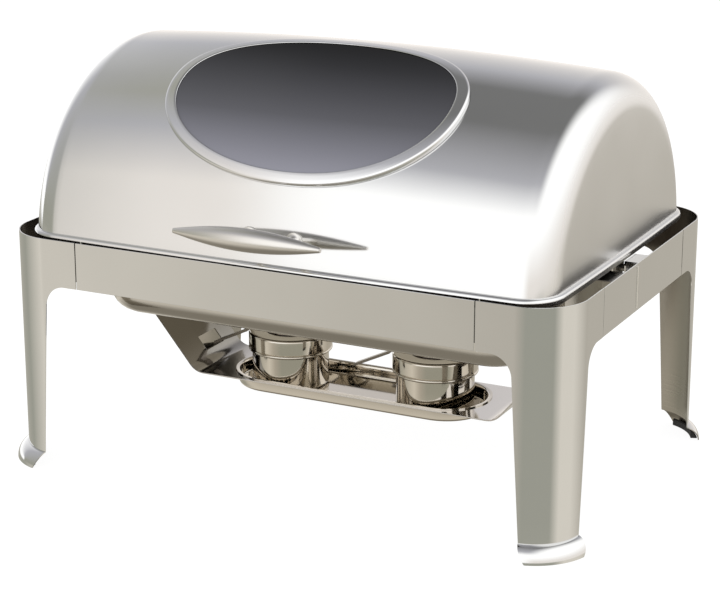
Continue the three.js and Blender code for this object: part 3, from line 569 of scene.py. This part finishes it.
def lid_sheet():
    """The vault with its round ends, and the hole for the window with its edge drawn onto the oval."""
    places = [[(x, drop, angle) for angle in lid_turns(x, drop)] for x, drop in lid_stations()]
    columns = LID_COLUMNS + 1
    flat = [place for row in places for place in row]
    reach = [window_reach(x, angle) for x, _, angle in flat]
    _, quads = skin(places, close_rings=False)
    kept = [quad for quad in quads if all(reach[index] >= 1 for index in quad)]
    removed = {index for quad in quads if any(reach[i] < 1 for i in quad) for index in quad}
    used = {index for quad in kept for index in quad}
    points = []
    for index, (x, drop, angle) in enumerate(flat):
        if index in removed and index in used:
            x = WINDOW_X + (x - WINDOW_X) / reach[index]
            angle = WINDOW_ANGLE + (angle - WINDOW_ANGLE) / reach[index]
        points.append(vault_point(x, angle, vault_radius(x, angle) - drop))
    order = sorted(used)
    renumbered = {index: place for place, index in enumerate(order)}
    faces = [tuple(renumbered[index] for index in quad) for quad in kept]
    rows = [points[i * columns:(i + 1) * columns] for i in range(len(places))]
    return ([points[index] for index in order], faces), rows


def end_panel(edge, sign):
    """The D-shaped end: the last ring drawn in towards the middle of its chord, with a slight crown."""
    rings = []
    for share in steps(1, 0, 14):
        x = edge[0][0] + sign * LID_CROWN * (1 - share ** 2)
        rings.append([(x, y * share, LID_EDGE + (z - LID_EDGE) * share) for _, y, z in edge])
    return rings


def build_lid():
    vault, rows = lid_sheet()
    right = end_panel(rows[-1], 1)
    left = end_panel(rows[0], -1)
    front_edge = [row[0] for row in rows]
    rear_edge = [row[-1] for row in rows]
    right_chord = [ring[0] for ring in right[1:]] + [ring[-1] for ring in reversed(right[1:-1])]
    left_chord = [ring[-1] for ring in left[1:]] + [ring[0] for ring in reversed(left[1:-1])]
    outline = front_edge + right_chord + rear_edge[::-1] + left_chord
    shoulder = RIM_OUT - RIM_ROUND
    rim = [[0, LID_EDGE], *arc((shoulder, LID_EDGE - RIM_ROUND), RIM_ROUND, 90, 0, 8),
           [RIM_OUT, LID_LOW + 0.5]]
    piece("lid_shell_skin", [
        vault, skin(left, close_rings=False), skin(right, close_rings=False),
        skin(sweep(outline, rim), close_rings=False, close_row=True),
    ], "lid", "lid_steel", ["lid_shell"], sheet=SHEET, inside=(0, 0, PIVOT_Z), bevel=0.3, sharp=50)


def window_point(turn, spread, lift, share=1.0):
    """A point near the window: spread widens the oval, lift raises it off the vault, share draws it in."""
    def rounded(value):
        return math.copysign(abs(value) ** (2 / WINDOW_POWER), value)

    x = WINDOW_X + (WINDOW_HALF_LENGTH + spread) * share * rounded(math.cos(turn))
    across = (WINDOW_HALF_ARC + spread) * share * rounded(math.sin(turn))
    angle = WINDOW_ANGLE + across / LID_RADIUS
    return vault_point(x, angle, vault_radius(x, angle) + lift)


WINDOW_TURNS = [math.tau * (i + 0.5) / 192 for i in range(192)]


def window_ring(node, section, slot):
    """A ring round the window with a closed section of [spread, lift] points."""
    rings = [[window_point(turn, spread, lift) for spread, lift in section] for turn in WINDOW_TURNS]
    piece(f"{node}_ring", [skin(rings, close_row=True)], "lid", slot, [node])


def build_window():
    # The glass stands proud of the lid; the bezel runs level round it and rolls over onto the lid.
    pane_edge = PANE_SPREAD + 0.8
    lip = arc((1.1, BEZEL_RISE - 0.9), 0.8, 180, 90, 4)
    roll = arc((10.2, BEZEL_RISE - 3.4), 3.4, 90, 0, 9)
    window_ring("window_bezel", [
        [0.3, PANE_LIFT + 0.4], *lip, [4, BEZEL_RISE - 0.05], [7, BEZEL_RISE], *roll, [14, 0.9], [14, 0.4],
        [pane_edge, 0.4], [pane_edge, PANE_LIFT + 0.4]], "bezel_steel")
    window_ring("window_seal", [
        [0.5, 0.4], [PANE_SPREAD + 0.4, 0.4], [PANE_SPREAD + 0.4, 0.1], [7.7, 0.1], [7.7, -6], [0.5, -6]],
        "black_rubber")
    window_ring("window_clamp", [
        [0.5, -6.3], [8.6, -6.3], [8.6, -2.1], [14, -2.1], [14, -3.3], [9.8, -3.3], [9.8, -7.5], [0.5, -7.5]],
        "hidden_steel")
    faces = [[window_point(turn, PANE_SPREAD, PANE_LIFT + PANE_CROWN * (1 - share ** 2), share)
              for turn in WINDOW_TURNS] for share in (0.02, 0.2, 0.4, 0.6, 0.8, 0.9, 0.97, 1)]
    backs = [[window_point(turn, PANE_SPREAD, PANE_LIFT - PANE_THICK, share) for turn in WINDOW_TURNS]
             for share in (1, 0.75, 0.5, 0.25, 0.02)]
    piece("window_glass_pane", [capped(faces + backs)], "lid", "window_glass", ["window_glass"])


def on_handle_line(rings, x):
    """Tips rings drawn about the vertical over to stand out of the vault on the handle's radial line."""
    tip = Matrix.Rotation(math.pi / 2 - HANDLE_ANGLE, 3, "X")
    tipped = []
    for ring in rings:
        tipped.append([Vector((x, 0, PIVOT_Z)) + tip @ Vector(point) for point in ring])
    return tipped


def build_handle():
    low, high = corners("handle_grip")
    middle_y, middle_z = (low.y + high.y) / 2, (low.z + high.z) / 2
    rings = []
    for turn in steps(0, math.pi, 48):
        share = -math.cos(turn)
        radius = GRIP_TIP + (GRIP_RADIUS - GRIP_TIP) * max(0.0, 1 - share ** 2) ** 1.1
        rings.append([(high.x * share, middle_y + u, middle_z + v)
                      for u, v in arc((0, 0), radius, 0, 352.5, 47)])
    piece("handle_grip_spindle", [capped(rings)], "lid", "handle_steel", ["handle_grip"], bevel=1.6)
    base = LID_RADIUS + 0.2
    tip = HANDLE_RADIUS - GRIP_RADIUS * 0.5
    neck = [[0, base], [8.6, base], *arc((8.6, base + 1), 1.0, -90, 60, 4),
            *arc((9.5, base + 8), 6.2, 250, 190, 6), *([4.4, waist] for waist in NECK_WAIST),
            [5, tip], [0, tip]]
    inner = LID_RADIUS - SHEET - 0.4
    screw = [[0, inner - 3], [3.6, inner - 3], [4.8, inner - 2.2], [5.2, inner - 1.2], [5.2, inner],
             [3, inner], [3, SCREW_END], [0, SCREW_END]]
    for side, sign in SIDES:
        x = sign * (corners("handle_post_right")[0].x + corners("handle_post_right")[1].x) / 2
        piece(f"handle_post_{side}_neck", [skin(on_handle_line(turned(neck, count=40), x))], "lid",
              "handle_steel", [f"handle_post_{side}"])
        piece(f"handle_screw_{side}_head", [skin(on_handle_line(turned(screw, count=24), x))], "lid",
              "hidden_steel", [f"handle_screw_{side}"])


# ---------------------------------------------------------------- carrier and pans

LEDGE_HALF = (290, 190)
LEDGE_CORNER = 50
LEDGE_WIDTH = 30
TAB_SHEET = 1.5
TAB_DROP = 20
FRONT_TAB_X = 150
FRONT_TAB_HALF = 20
SIDE_TAB_Y = (-66, -30)


def pan_rings(flange, flange_corner, flange_z, half, corner, draft, floor, fillet):
    """The outside of a pressed pan, from the middle of its floor to the edge of its flange."""
    rings = []
    low_x, low_y = half[0] - draft, half[1] - draft
    floor_corner = max(6, corner - 0.8 * fillet)
    for share in (0.1, 0.4, 0.7, 0.9):
        rings.append(rounded_ring((low_x - fillet) * share, (low_y - fillet) * share,
                                  floor_corner * share, floor))
    for t in steps(0, math.pi / 2, 8):
        out = fillet * (1 - math.sin(t))
        rings.append(rounded_ring(low_x - out, low_y - out, max(6, corner - 0.8 * out),
                                  floor + fillet * (1 - math.cos(t))))
    bend = 3.0
    for t in steps(0, math.pi / 2, 5):
        out = bend * (1 - math.cos(t))
        rings.append(rounded_ring(half[0] + out, half[1] + out, corner + out,
                                  flange_z - bend * (1 - math.sin(t))))
    rings.append(rounded_ring(flange[0], flange[1], flange_corner, flange_z))
    return rings


def build_pan(name, flange_corner, half, corner, draft, floor, fillet):
    """A pressed pan; half is half its length and width at the top of the walls."""
    high = corners(name)[1]
    rings = pan_rings(high[:2], flange_corner, high.z, half, corner, draft, floor, fillet)
    piece(f"{name}_skin", [capped_floor(rings)], name, "pan_steel", [name],
          sheet=SHEET, inside=(0, 0, high.z + 200), bevel=0.4)


def build_pans():
    build_pan("water_pan", flange_corner=45, half=(257, 155), corner=45, draft=4, floor=WATER_LOW, fillet=25)
    build_pan("food_pan", flange_corner=30, half=(252, 149.5), corner=40, draft=6, floor=FOOD_LOW, fillet=16)


def capped_floor(rings):
    """A skin of rings whose first ring is filled."""
    points, faces = skin(rings)
    return points, [*faces, tuple(range(len(rings[0])))]


def build_carrier():
    seat = CARRIER_HIGH.z
    outline = rounded_ring(*LEDGE_HALF, LEDGE_CORNER, 0, 14)
    lip = [[0, seat - 9], *arc((-2, seat - 2), 2, 0, 90, 4), [-LEDGE_WIDTH, seat]]
    ledge = skin(sweep(outline, lip), close_rings=False, close_row=True)
    piece("pan_carrier_ledge", [ledge], "frame", "hidden_steel", ["pan_carrier"],
          sheet=TAB_SHEET, inside=(0, 0, seat - 400), bevel=0.3)
    tabs = []
    inner_x, inner_y = FRAME_X - SHEET - 0.4, FRAME_Y - SHEET - 0.4
    top, low = seat - TAB_SHEET / 2, seat - TAB_DROP
    front = -inner_y + TAB_SHEET / 2
    for sign in (-1, 1):
        middle, side = sign * FRONT_TAB_X, sign * (inner_x - TAB_SHEET / 2)
        tabs.append(fold([(-LEDGE_HALF[1], top), (front, top), (front, low)],
                         middle - FRONT_TAB_HALF, middle + FRONT_TAB_HALF, 0))
        tabs.append(fold([(sign * LEDGE_HALF[0], top), (side, top), (side, low)], *SIDE_TAB_Y, 1))
    piece("pan_carrier_tabs", tabs, "frame", "hidden_steel", ["pan_carrier"], bevel=0.3)


def fold(path, low, high, axis):
    """A bent tab along a path of [across, z]; axis 0 spans X, and axis 1 spans Y."""
    half = TAB_SHEET / 2
    (a, z), (b, _), (_, end) = path
    outward = 1 if b > a else -1
    section = [(a, z + half), (b + outward * half, z + half), (b + outward * half, end),
               (b - outward * half, end), (b - outward * half, z - half), (a, z - half)]
    if axis == 0:
        return capped([[(x, across, height) for across, height in section] for x in (low, high)])
    return capped([[(across, y, height) for across, height in section] for y in (low, high)])


# ---------------------------------------------------------------- burner shelf, tray, cups


SHELF_SLOPE = math.radians(50.3)
SHELF_HALF = 186
SHELF_SHEET = 1.5
ARM_X = 263
SLOT_OUT = 24             # from the end of the level part to the middle of the slot in the arm
SLOT_HALF = 22
SLOT_Y = (-12, 26)
SLOT_Z = (14.5, 28.5)     # above the shelf

COVER_OUT = 4             # from the cup's side to the cover's
BURNER_HOLE = 24
DAMPER_RADIUS = 28
DAMPER_THICK = 1.2
DAMPER_EYE = 6.5
LEVER_HALF = 5
LEVER_THICK = 3.4


def strap_path():
    """The shelf's upper face as [x, z], from its middle to the tab under the carrier, with rounded bends."""
    shelf_z = SHELF_LOW.z + SHELF_SHEET
    top = SHELF_HIGH.z
    rise = (ARM_X - SHELF_HALF) * math.tan(SHELF_SLOPE)
    bends = [(0, shelf_z), (SHELF_HALF, shelf_z), (ARM_X, shelf_z + rise), (ARM_X, top), (SHELF_HIGH.x, top)]
    path = [Vector(bends[0])]
    for before, bend, after, radius in zip(bends, bends[1:], bends[2:], (22, 5, 3)):
        path += bend_points(Vector(before), Vector(bend), Vector(after), radius)
    path.append(Vector(bends[-1]))
    return path


def bend_points(before, bend, after, radius, count=6):
    """An arc that rounds a corner of a path."""
    into = (bend - before).normalized()
    out = (after - bend).normalized()
    turn = into.angle(out)
    reach = radius * math.tan(turn / 2)
    side = (out - into).normalized()
    centre = bend + side * math.hypot(radius, reach)
    points = []
    for share in steps(-0.5, 0.5, count):
        spoke = Matrix.Rotation(turn * share, 2) if into.cross(out) > 0 else Matrix.Rotation(-turn * share, 2)
        points.append(centre + spoke @ (-side) * radius)
    return points


def stadium(half_x, half_y, z):
    return rounded_ring(half_x, half_y, half_y - 0.01, z, 20)


def build_shelf():
    half_path = strap_path()
    path = [Vector((-p.x, p.y)) for p in reversed(half_path[1:])] + half_path
    width = SHELF_HIGH.y
    rings = [[(p.x, y, p.y) for y in steps(-width, width, 6)] for p in path]
    shelf = piece("burner_shelf_strap", [skin(rings, close_rings=False)], "frame", "burner_steel",
                  ["burner_shelf"], sheet=SHELF_SHEET, inside=(0, 0, 600), finish=SHELF_STEEL_SHADED_LEFT)
    tray_half = (TRAY_HIGH.x - 3, TRAY_HIGH.y - 3)
    shelf_z = SHELF_LOW.z
    cuts = [capped([stadium(*tray_half, shelf_z - 8), stadium(*tray_half, shelf_z + 8)])]
    for sign in (-1, 1):
        x = sign * (SHELF_HALF + SLOT_OUT)
        cuts.append(block((x - SLOT_HALF, SLOT_Y[0], shelf_z + SLOT_Z[0]),
                          (x + SLOT_HALF, SLOT_Y[1], shelf_z + SLOT_Z[1])))
    carve(shelf, cuts)
    round_edges(shelf, 0.35)


def build_tray():
    half_x, half_y = TRAY_HIGH.x, TRAY_HIGH.y
    floor = TRAY_LOW.z
    lip = TRAY_HIGH.z
    rings = [stadium((half_x - 8) * share, (half_y - 8) * share, floor) for share in (0.2, 0.6, 0.9)]
    rings += [stadium(half_x - 4 - 3 * (1 - math.sin(t)), half_y - 4 - 3 * (1 - math.sin(t)),
                      floor + 3 * (1 - math.cos(t))) for t in steps(0, math.pi / 2, 5)]
    rings += [stadium(half_x - 4, half_y - 4, lip - 1.5), stadium(half_x - 3.6, half_y - 3.6, lip - 0.4),
              stadium(half_x - 2.8, half_y - 2.8, lip), stadium(half_x, half_y, lip)]
    piece("burner_tray_skin", [capped_floor(rings)], "frame", "burner_steel", ["burner_tray"],
          sheet=SHEET, inside=(0, 0, 600), bevel=0.35)


def build_cup(side, sign):
    centre_x = sign * (CUP_LOW.x + CUP_HIGH.x) / 2
    centre_y = (CUP_LOW.y + CUP_HIGH.y) / 2
    radius = (CUP_HIGH.x - CUP_LOW.x) / 2
    floor, top = CUP_LOW.z, CUP_HIGH.z
    outside = [[0, floor], *arc((radius - 4, floor + 4), 4, -90, 0, 6), [radius, top - 0.4]]
    wall = [*arc((radius - 0.6, top - 0.6), 0.6, 0, 180, 4), [radius - SHEET, floor + 5],
            *arc((radius - 5, floor + 5), 3.8, 0, -90, 6), [0, floor + SHEET]]
    piece(f"fuel_cup_{side}_skin", [skin(turned(outside + wall, centre_x, centre_y, 96))], f"cup_{side}",
          "burner_steel", [f"fuel_cup_{side}"])

    cover_radius = radius + COVER_OUT
    bead_out = (COVER_HIGH.x - COVER_LOW.x) / 2
    low, high = COVER_LOW.z, COVER_HIGH.z
    bead = arc((bead_out - 2.1, low + 2.1), 2.1, -160, 75, 12)
    shell = [*bead, [cover_radius, low + 5], [cover_radius, high - 3],
             *arc((cover_radius - 3, high - 3), 3, 0, 90, 6), [BURNER_HOLE + 2, high],
             *arc((BURNER_HOLE + 1, high - 1), 1, 90, 180, 4)]
    lining = [[BURNER_HOLE, high - SHEET], [cover_radius - 4, high - SHEET], [cover_radius - SHEET, high - 4],
              [cover_radius - SHEET, low + 3.4]]
    rings = turned(shell + lining, centre_x, centre_y, 96)
    piece(f"cup_cover_{side}_skin", [skin(rings, close_row=True)], f"cover_{side}", "burner_steel",
          [f"cup_cover_{side}"])
    build_damper(side, centre_x, centre_y, high)


def build_damper(side, centre_x, centre_y, cover_top):
    lever_low = corners(f"damper_{side}")[0]
    rivet_low, rivet_high = corners(f"damper_rivet_{side}")
    rivet_y = (rivet_low.y + rivet_high.y) / 2 - centre_y
    plate_z = cover_top + 0.5
    outline = [*arc((0, 0), DAMPER_RADIUS, 105, 435, 60), *arc((0, rivet_y), DAMPER_EYE, 0, 180, 14)]
    plate = capped([[(centre_x + u, centre_y + v, z) for u, v in outline]
                    for z in (plate_z, plate_z + DAMPER_THICK)])
    # The lever steps down past the cover and slopes away to its end.
    bends = [Vector(bend) for bend in (
        (-22, plate_z), (-50.5, plate_z), (-53.5, plate_z - 10), (lever_low.x - centre_x, lever_low.z))]
    path = [bends[0], *bend_points(*bends[:3], 2), *bend_points(*bends[1:], 4), bends[-1]]
    section = [(-LEVER_HALF, LEVER_THICK), (LEVER_HALF, LEVER_THICK), (LEVER_HALF, 0), (-LEVER_HALF, 0)]
    lever = [[(centre_x + point.x, centre_y + across, point.y + up) for across, up in section]
             for point in path]
    piece(f"damper_{side}_plate", [plate, capped(lever)], f"damper_{side}", "burner_steel",
          [f"damper_{side}"], bevel=0.3, finish=DARK_DAMPER_STEEL)
    top = rivet_high.z
    head = [[0, rivet_low.z], [4.4, rivet_low.z], [4.4, rivet_low.z + 1.4], [2.5, rivet_low.z + 1.6],
            [2.5, top - 2], *arc((0, top - 4.6), 5.1, 26, 90, 6)]
    piece(f"damper_rivet_{side}_head", [skin(turned(head, centre_x, centre_y + rivet_y, 32))],
          f"cover_{side}", "hidden_steel", [f"damper_rivet_{side}"])


# ---------------------------------------------------------------- small CAD parts that stay as they are

KEPT = {
    "hidden_steel": ["splice", "pivot_pin", "pivot_nut", "lid_lug"],
    "frame_steel": ["hinge_bracket"],
}


def finish_kept_nodes():
    for slot, stems in KEPT.items():
        for name, node in frame["nodes"].items():
            if any(name.startswith(stem) for stem in stems):
                node.data.materials.clear()
                node.data.materials.append(FINISHES[slot])
                round_edges(node, 0.3)


# ---------------------------------------------------------------- floor, light, camera


# The studio's tones as the steel sees them: white cards, a dark gap overhead, and a warm grey floor, with
# painted shadow of the object where it is seen straight down.
WHITE_CARD = (255, 255, 255)
DARK_GAP = (110, 110, 110)
SIDE_CARD = (225, 220, 215)
GREY_WALL = (170, 170, 175)
PALE_FLOOR = (205, 200, 190)
WARM_FLOOR = (170, 165, 155)
DIM_FLOOR = (150, 150, 140)
SHADOWED_FLOOR = (120, 115, 105)
REFLECTED_STRENGTH = 1.38

FLOOR_HALF = 6.0          # this and the key light's values are in metres and watts
KEY_PLACE = (-0.8, -1.6, 2.6)
KEY_AIM = (0, 0, 0.2)
KEY_SIZE = 2.4
KEY_WATTS = 18

CAMERA_LENS = 107.85
CAMERA_PLACE = (1027.4, -2062.8, 881.0)
CAMERA_DOWN = 17.09       # degrees below level
CAMERA_TURN = 26.53       # degrees round from the front


def turn_stops(stops, turn):
    """Ramp stops from (degrees, tone) pairs, over the given turn."""
    return [(degrees / turn, tone) for degrees, tone in stops]


def build_world():
    """A white room for the camera; for reflections, a plain soft studio by ray direction.

    A white card stands in front, a dark gap runs overhead from side to side, and a grey wall is behind.
    The left side has a dimmer card, and the right side a white one.
    """
    world = bpy.data.worlds.new("studio")
    bpy.context.scene.world = world
    graph = Graph(world)
    direction = graph.node("ShaderNodeTexCoord").outputs["Generated"]
    split = graph.node("ShaderNodeSeparateXYZ", {"Vector": direction})
    x, y, z = split.outputs["X"], split.outputs["Y"], split.outputs["Z"]
    forward = graph.math("MULTIPLY", y, -1.0)

    over = graph.math("ARCTAN2", graph.math("MAXIMUM", z, 0.001), forward)
    over = graph.remap(over, 0, math.pi)
    middle = graph.ramp(over, turn_stops(
        [(40, WHITE_CARD), (60, GREY_WALL), (95, DARK_GAP), (125, DARK_GAP), (145, GREY_WALL),
         (180, SIDE_CARD)], 180))
    left = graph.ramp(over, turn_stops(
        [(35, SIDE_CARD), (70, GREY_WALL), (95, DIM_FLOOR), (150, GREY_WALL), (180, SIDE_CARD)], 180))
    far_left = graph.ramp(over, turn_stops([(0, DIM_FLOOR), (110, GREY_WALL), (180, WHITE_CARD)], 180))
    right = graph.ramp(z, [(0.0, SIDE_CARD), (0.4, WHITE_CARD)])
    sky = graph.mix(graph.remap(x, -0.5, -0.44, smooth=True), left, middle)
    sky = graph.mix(graph.remap(x, -0.7, -0.52, smooth=True), far_left, sky)
    sky = graph.mix(graph.remap(x, 0.1, 0.5, smooth=True), sky, right)

    # The floor round the object: pale at the front left and at the right, dimmer at the front and behind.
    around = graph.remap(graph.math("ARCTAN2", x, forward), -math.pi, math.pi)
    ground = graph.ramp(around, turn_stops(
        [(0, WARM_FLOOR), (90, DIM_FLOOR), (140, PALE_FLOOR), (160, WARM_FLOOR), (180, DIM_FLOOR),
         (240, DIM_FLOOR), (260, PALE_FLOOR), (290, PALE_FLOOR), (330, WARM_FLOOR)], 360))
    # Painted shadow: straight down, the reflected floor turns dark brown-grey, as the floor under the object.
    steep = graph.ramp(graph.math("MULTIPLY", z, -1.0), [(0.45, PALE_FLOOR), (0.8, SHADOWED_FLOOR)])
    ground = graph.mix(graph.remap(z, -0.5, -0.4, smooth=True), steep, ground)
    studio = graph.mix(graph.remap(z, -0.2, -0.1, smooth=True), ground, sky)

    rays = graph.node("ShaderNodeLightPath")
    reflected = graph.node("ShaderNodeBackground", {
        "Color": studio, "Strength": REFLECTED_STRENGTH}).outputs[0]
    plain = graph.node("ShaderNodeBackground", {"Color": (1, 1, 1, 1), "Strength": 1.0}).outputs[0]
    shown = graph.node("ShaderNodeMixShader", {
        0: rays.outputs["Is Glossy Ray"], 1: plain, 2: reflected}).outputs[0]
    graph.node("ShaderNodeOutputWorld", {"Surface": shown})


def build_floor():
    """A lit white sheet, so that the object stands on white with only a faint shadow."""
    half = FLOOR_HALF
    square = [(-half, -half, 0), (half, -half, 0), (half, half, 0), (-half, half, 0)]
    mesh = bpy.data.meshes.new("floor")
    mesh.from_pydata(square, [], [(0, 1, 2, 3)])
    floor = bpy.data.objects.new("floor", mesh)
    bpy.context.scene.collection.objects.link(floor)
    floor.visible_glossy = False
    material = bpy.data.materials.new("floor")
    graph = Graph(material)
    place = graph.node("ShaderNodeTexCoord").outputs["Object"]
    mottle = graph.node("ShaderNodeTexNoise", {"Vector": place, "Scale": 2.0, "Detail": 2.0}).outputs["Fac"]
    tone = graph.ramp(mottle, [(0.3, (104, 104, 104)), (0.7, (108, 108, 108))])
    shade = graph.node("ShaderNodeBsdfDiffuse", {"Color": tone}).outputs[0]
    glow = graph.node("ShaderNodeEmission", {"Color": (1, 1, 1, 1), "Strength": 0.94}).outputs[0]
    lit = graph.node("ShaderNodeAddShader", {0: shade, 1: glow}).outputs[0]
    graph.node("ShaderNodeOutputMaterial", {"Surface": lit})
    mesh.materials.append(material)


def build_light():
    lamp = bpy.data.lights.new("key", "AREA")
    lamp.shape = "DISK"
    lamp.size = KEY_SIZE
    lamp.energy = KEY_WATTS
    light = bpy.data.objects.new("key", lamp)
    light.location = KEY_PLACE
    aim = Vector(KEY_AIM) - light.location
    light.rotation_euler = aim.to_track_quat("-Z", "Y").to_euler()
    light.visible_glossy = False
    bpy.context.scene.collection.objects.link(light)


def build_camera():
    data = bpy.data.cameras.new("camera")
    data.lens = CAMERA_LENS
    data.sensor_width = 36
    camera = bpy.data.objects.new("camera", data)
    camera.location = to_row(CAMERA_PLACE)
    camera.rotation_euler = (math.radians(90 - CAMERA_DOWN), 0, math.radians(CAMERA_TURN))
    bpy.context.scene.collection.objects.link(camera)
    bpy.context.scene.camera = camera
    bpy.context.scene.view_settings.view_transform = "Standard"


build_legs()
build_bands()
build_lid()
build_window()
build_handle()
build_carrier()
build_pans()
build_shelf()
build_tray()
for side, sign in SIDES:
    build_cup(side, sign)
finish_kept_nodes()
build_world()
build_floor()
build_light()
build_camera()
